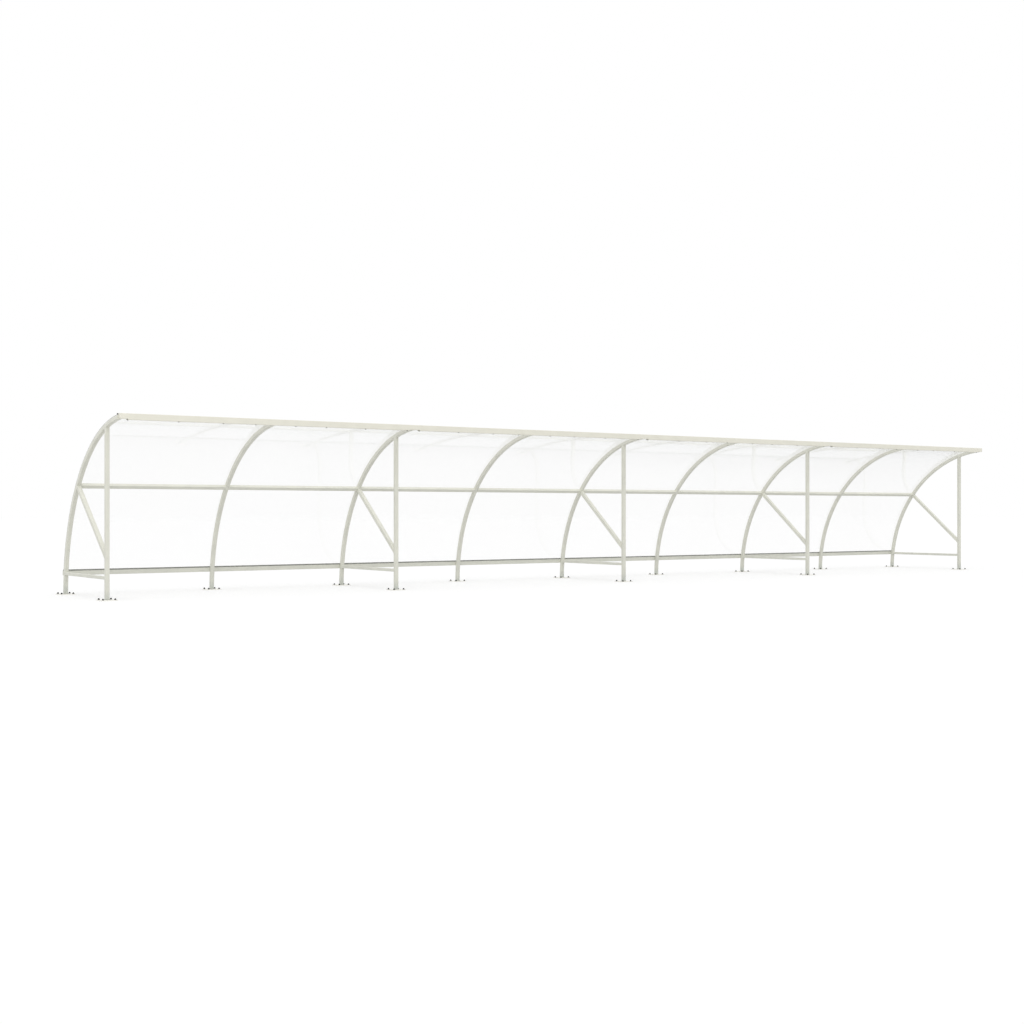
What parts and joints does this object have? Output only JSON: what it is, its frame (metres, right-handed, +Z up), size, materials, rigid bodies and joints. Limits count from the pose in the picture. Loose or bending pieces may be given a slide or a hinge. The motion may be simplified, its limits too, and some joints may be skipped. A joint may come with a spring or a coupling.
{
  "type": "bike shelter",
  "caption": "Open-fronted bike shelter: a row of quarter-circle tube ribs on bolted base plates, posts, braces and rails, roofed and backed by clear curved sheets.",
  "frame": {"origin": "on the ground, at the middle of the shelter's length and depth", "axes": "+X along the row, +Y towards the back, so the open front faces -Y, +Z up"},
  "size_m": [16.2, 2.145, 2.2225],
  "materials": {
    "frame_coat": "satin pale beige-grey powder coat",
    "eave_coat": "satin pale beige powder coat",
    "plate_coat": "satin pale beige-grey powder coat",
    "clear_sheet": "clear glossy polycarbonate",
    "seal_rubber": "dark extruded rubber"
  },
  "bodies": {
    "root": {"rib_1": "frame_coat", "rib_2": "frame_coat", "rib_3": "frame_coat", "rib_4": "frame_coat", "rib_5": "frame_coat", "rib_6": "frame_coat", "rib_7": "frame_coat", "rib_8": "frame_coat", "rib_9": "frame_coat", "post_1": "frame_coat", "brace_1": "frame_coat", "post_2": "frame_coat", "brace_2": "frame_coat", "post_3": "frame_coat", "brace_3": "frame_coat", "post_4": "frame_coat", "brace_4": "frame_coat", "post_5": "frame_coat", "brace_5": "frame_coat", "mid_rail_1": "frame_coat", "low_rail_1": "frame_coat", "eave_1": "eave_coat", "mid_rail_2": "frame_coat", "low_rail_2": "frame_coat", "eave_2": "eave_coat", "mid_rail_3": "frame_coat", "low_rail_3": "frame_coat", "eave_3": "eave_coat", "mid_rail_4": "frame_coat", "low_rail_4": "frame_coat", "eave_4": "eave_coat", "roof_sheet_1": "clear_sheet", "roof_sheet_2": "clear_sheet", "roof_sheet_3": "clear_sheet", "roof_sheet_4": "clear_sheet", "roof_sheet_5": "clear_sheet", "roof_sheet_6": "clear_sheet", "roof_sheet_7": "clear_sheet", "roof_sheet_8": "clear_sheet", "side_rails": "frame_coat", "eave_connectors": "eave_coat", "sheet_seals": "seal_rubber", "base_plates": "plate_coat"}
  },
  "joints": []
}
